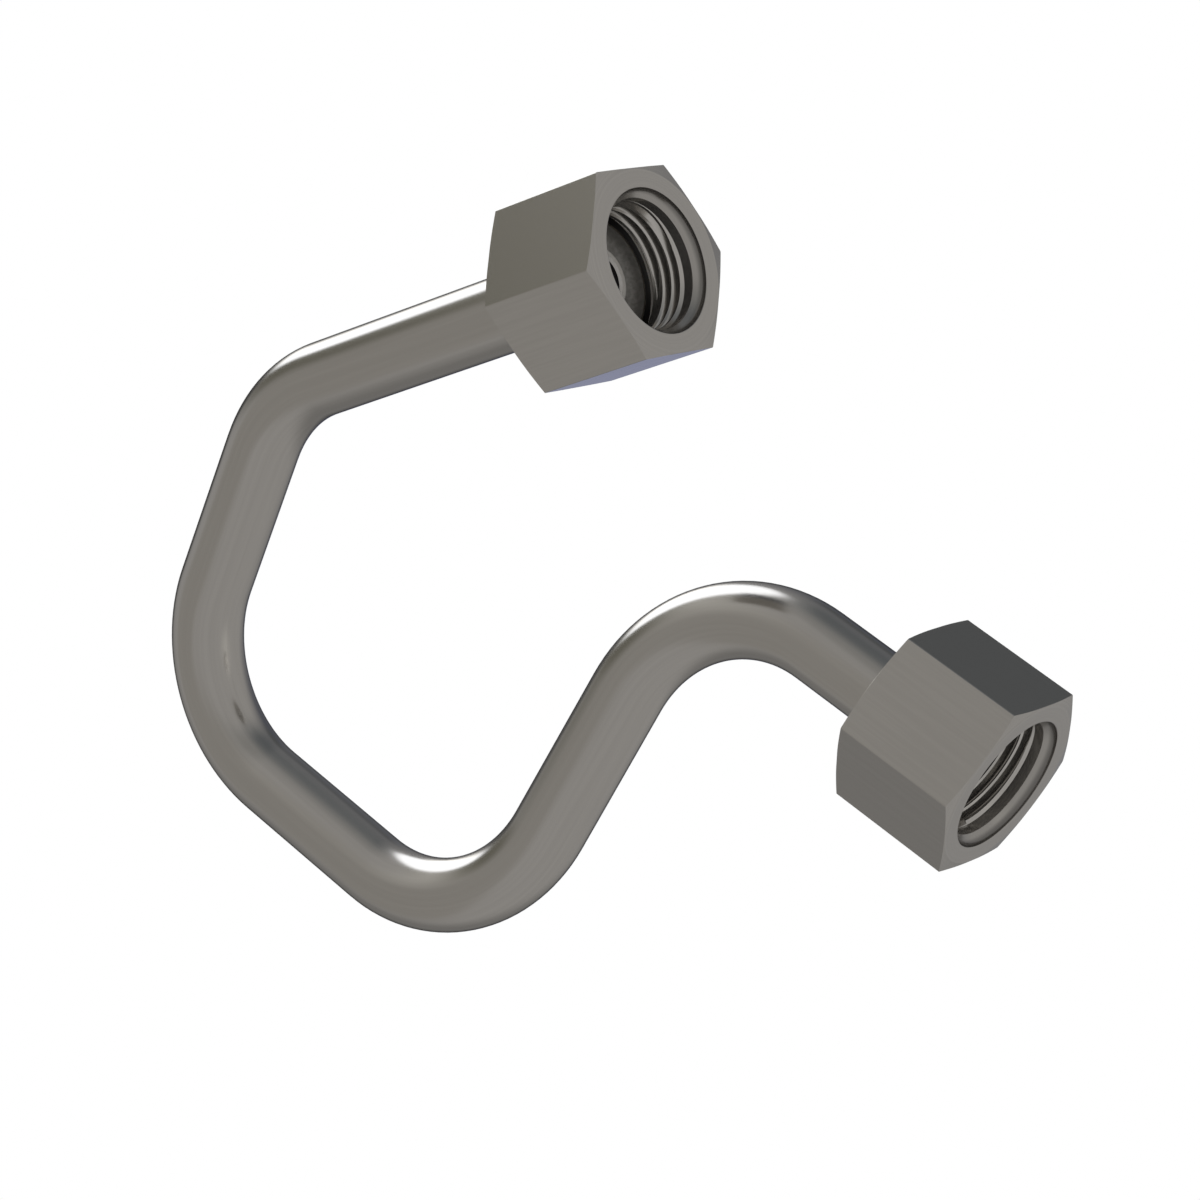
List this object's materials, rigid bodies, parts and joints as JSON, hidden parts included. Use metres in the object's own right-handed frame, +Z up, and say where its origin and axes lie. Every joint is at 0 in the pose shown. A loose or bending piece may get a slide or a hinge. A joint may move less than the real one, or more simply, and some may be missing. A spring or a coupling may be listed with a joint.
{
  "type": "fuel line",
  "caption": "Bent steel fuel line with a formed head and a captive hexagonal union nut at each end.",
  "frame": {"origin": "under the middle of the line's bounding box, on the surface that the line lies on", "axes": "+Z up from the surface, +X along the second leg of the tube as seen from above, towards the short end leg"},
  "size_m": [0.1242, 0.1144, 0.0309],
  "materials": {
    "tube_steel": "drawn steel tube, satin",
    "nut_steel": "turned steel, satin"
  },
  "bodies": {
    "line": {"tube": "tube_steel"},
    "long_nut": {"long_leg_nut": "nut_steel"},
    "short_nut": {"short_leg_nut": "nut_steel"}
  },
  "joints": [
    {"name": "long_nut_turn", "type": "hinge", "parent": "line", "child": "long_nut", "pos_m": [-0.01562, 0.04236, 0.01488], "axis": [0.6883, 0.7071, 0.162], "continuous": true},
    {"name": "short_nut_turn", "type": "hinge", "parent": "line", "child": "short_nut", "pos_m": [0.05058, 0.01023, 0.01547], "axis": [0.9731, 0, 0.2304], "continuous": true}
  ]
}
